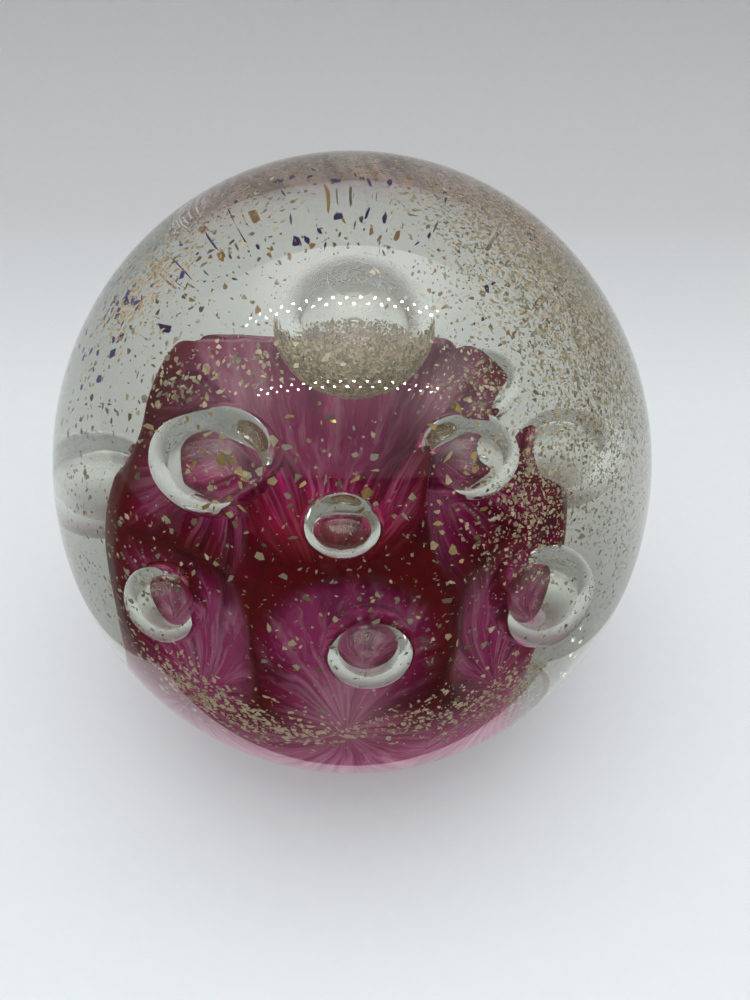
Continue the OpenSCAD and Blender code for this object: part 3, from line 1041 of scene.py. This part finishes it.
def make_lights():
    """A softbox sky: bright overhead and a little behind, fading smoothly to a dim horizon."""
    world = bpy.data.worlds.new("room")
    bpy.context.scene.world = world
    world.use_nodes = True
    nodes, links = world.node_tree.nodes, world.node_tree.links
    towards = nodes.new("ShaderNodeVectorMath")
    towards.operation = "DOT_PRODUCT"
    links.new(nodes.new("ShaderNodeTexCoord").outputs["Generated"], towards.inputs[0])
    towards.inputs[1].default_value = Vector((0, SKY_LEAN, 1)).normalized()
    sky = ramp(nodes, [(0.0, (0.07, 0.07, 0.07)), (0.5, (0.085, 0.087, 0.09)), (0.78, (0.14, 0.143, 0.146)),
                       (0.90, (0.36, 0.37, 0.375)), (0.965, (1.0, 1.0, 1.0))], "EASE")
    height = math_node(nodes, links, "MULTIPLY_ADD", towards.outputs["Value"], 0.5)
    height.node.inputs[2].default_value = 0.5
    links.new(height, sky.inputs["Fac"])
    links.new(sky.outputs["Color"], nodes["Background"].inputs["Color"])
    nodes["Background"].inputs["Strength"].default_value = SKY_STRENGTH


# Two strips of small lamps on a shelf overhead, seen only as sparks in the glass.
# Each is its distance behind the middle and its two ends, in body radii.
LAMP_STRIPS = [(-0.2, -4.6, 3.3), (-3.9, -4.9, 4.0)]
STRIP_HEIGHT = 8.0
LAMP_PAIRS = 16
LAMP_SIZE = 0.0038
LAMP_GAP = 0.011

# Dark cards in front, seen only as reflections: painted shade standing in for the shaded floor and the camera
# in front; they keep the glass from veiling the bulb.
FLAG_FRONT = -0.036
FLAG_DEPTH = 0.45
FLAG_HALF_WIDTH = 0.8
FLAG_TOP = 0.35
FLAG_BESIDE = 0.05
FLAG_BACK = 0.17
FLAG_LIFT = 0.001
# The side cards fade to pale by this distance behind the middle.
FLAG_PALE = 0.02


def make_flags():
    """Dark cards for painted shade in reflections: lying on the floor in front and on both sides, and one
    standing behind the camera.
    """
    front, near, wide = FLAG_FRONT, FLAG_FRONT - FLAG_DEPTH, FLAG_HALF_WIDTH
    points = [
        (-wide, front, FLAG_LIFT), (wide, front, FLAG_LIFT), (wide, near, FLAG_LIFT),
        (-wide, near, FLAG_LIFT), (-wide, near, FLAG_TOP), (wide, near, FLAG_TOP),
    ]
    faces = [(0, 1, 2, 3), (3, 2, 5, 4)]
    for side in (-1, 1):
        faces.append(tuple(range(len(points), len(points) + 4)))
        points += [
            (side * FLAG_BESIDE, front, FLAG_LIFT), (side * wide, front, FLAG_LIFT),
            (side * wide, FLAG_BACK, FLAG_LIFT), (side * FLAG_BESIDE, FLAG_BACK, FLAG_LIFT),
        ]
    mesh = bpy.data.meshes.new("flags")
    mesh.from_pydata(points, [], faces)
    material, nodes, links, shader = new_material("reflected_shade_card")
    # Painted shade: near black in front, fading to pale towards the back.
    split = nodes.new("ShaderNodeSeparateXYZ")
    links.new(nodes.new("ShaderNodeTexCoord").outputs["Object"], split.inputs["Vector"])
    along = nodes.new("ShaderNodeMapRange")
    along.inputs["From Min"].default_value = FLAG_FRONT
    along.inputs["From Max"].default_value = FLAG_PALE
    links.new(split.outputs["Y"], along.inputs["Value"])
    shade = ramp(nodes, [(0.0, (0.02, 0.02, 0.02)), (1.0, (0.70, 0.72, 0.73))])
    links.new(along.outputs["Result"], shade.inputs["Fac"])
    links.new(shade.outputs["Color"], shader.inputs["Base Color"])
    shader.inputs["Roughness"].default_value = 0.9
    mesh.materials.append(material)
    flags = bpy.data.objects.new("flags", mesh)
    bpy.context.scene.collection.objects.link(flags)
    flags.visible_camera = False
    flags.visible_diffuse = False
    flags.visible_shadow = False
    flags.visible_transmission = False


def make_lamp_strips():
    """Small bright squares in two staggered rows for each strip."""
    points, faces = [], []
    for y, first, last in LAMP_STRIPS:
        for i, x in enumerate(np.linspace(first, last, 2 * LAMP_PAIRS)):
            centre = np.array([x * BODY_R, y * BODY_R + (LAMP_GAP if i % 2 else 0), STRIP_HEIGHT * BODY_R])
            start = len(points)
            for dx, dy in ((-1, -1), (-1, 1), (1, 1), (1, -1)):
                points.append(tuple(centre + np.array([dx, dy, 0]) * LAMP_SIZE / 2))
            faces.append((start, start + 1, start + 2, start + 3))
    mesh = bpy.data.meshes.new("lamp_strips")
    mesh.from_pydata(points, [], faces)
    material, nodes, links, shader = new_material("lamp")
    shader.inputs["Emission Color"].default_value = (1.0, 0.98, 0.94, 1.0)
    shader.inputs["Emission Strength"].default_value = 150.0
    material.cycles.emission_sampling = "NONE"
    mesh.materials.append(material)
    strips = bpy.data.objects.new("lamp_strips", mesh)
    bpy.context.scene.collection.objects.link(strips)
    strips.visible_camera = False
    strips.visible_diffuse = False
    strips.visible_shadow = False


make_camera()
make_lights()
make_floor()
make_lamp_strips()
make_flags()
make_casing()
make_gather()
make_bulb()
make_core()
make_seam_flakes()
make_crown_lining()
make_gold_leaf()

# Light bounces many times between the layers of glass before it leaves.
cycles = bpy.context.scene.cycles
cycles.max_bounces = 48
cycles.transmission_bounces = 32
cycles.glossy_bounces = 32
cycles.transparent_max_bounces = 48
bpy.context.scene.view_settings.view_transform = "Standard"
